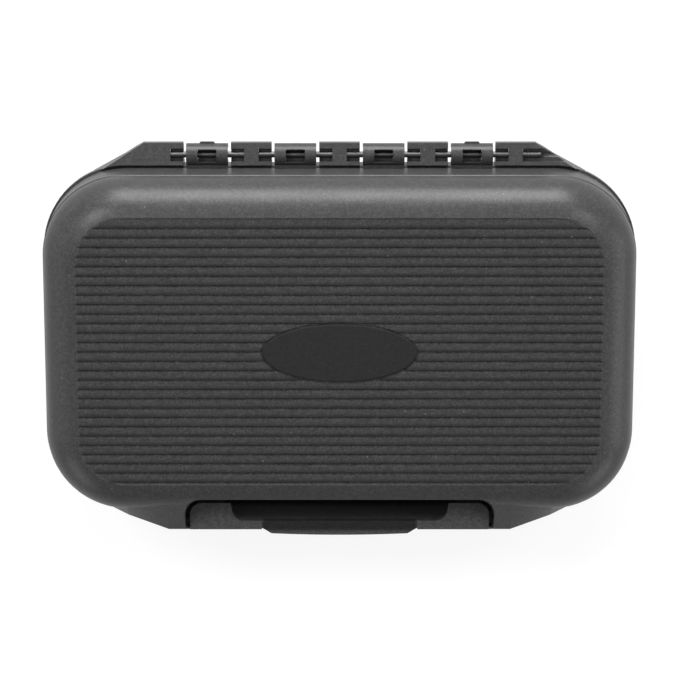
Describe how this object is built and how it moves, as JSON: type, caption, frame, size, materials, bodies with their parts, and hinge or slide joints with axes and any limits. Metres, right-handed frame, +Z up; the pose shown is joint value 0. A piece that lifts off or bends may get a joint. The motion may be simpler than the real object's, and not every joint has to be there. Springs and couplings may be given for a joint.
{
  "type": "fly box",
  "caption": "Hinged storage case with a domed ribbed lid, a long pinned hinge, a snap latch across the front, a rim gasket and slit-foam trays inside.",
  "frame": {"origin": "on the surface the case rests on, under the middle of its bounding box", "axes": "+Z up out of the ribbed lid, +Y towards the hinge, -Y towards the latch, +X along the length to the open end of the hinge pin"},
  "size_m": [0.15, 0.1008, 0.0428],
  "materials": {
    "case_plastic": "fine matt spark texture, dark grey",
    "latch_plastic": "fine matt, dark grey",
    "pin_steel": "drawn stainless wire",
    "seal_rubber": "smooth black silicone",
    "foam": "closed-cell foam, light grey, slit"
  },
  "bodies": {
    "base": {"base_shell": "case_plastic", "gasket": "seal_rubber", "hinge_pin": "pin_steel", "latch_pin": "pin_steel", "base_foam_sheet": "foam", "base_foam_strip_1": "foam", "base_foam_strip_2": "foam", "base_foam_strip_3": "foam", "base_foam_strip_4": "foam", "base_foam_strip_5": "foam", "base_foam_strip_6": "foam"},
    "lid": {"lid_shell": "case_plastic", "lid_foam_sheet": "foam", "lid_foam_strip_1": "foam", "lid_foam_strip_2": "foam", "lid_foam_strip_3": "foam", "lid_foam_strip_4": "foam", "lid_foam_strip_5": "foam", "lid_foam_strip_6": "foam"},
    "latch": {"latch": "latch_plastic"}
  },
  "joints": [
    {"name": "lid_hinge", "type": "hinge", "parent": "base", "child": "lid", "pos_m": [0, 0.04709, 0.0215], "axis": [-1, 0, 0], "range_deg": [0, 180]},
    {"name": "latch_hinge", "type": "hinge", "parent": "base", "child": "latch", "pos_m": [0, -0.04601, 0.009], "axis": [1, 0, 0], "range_deg": [0, 95]}
  ]
}
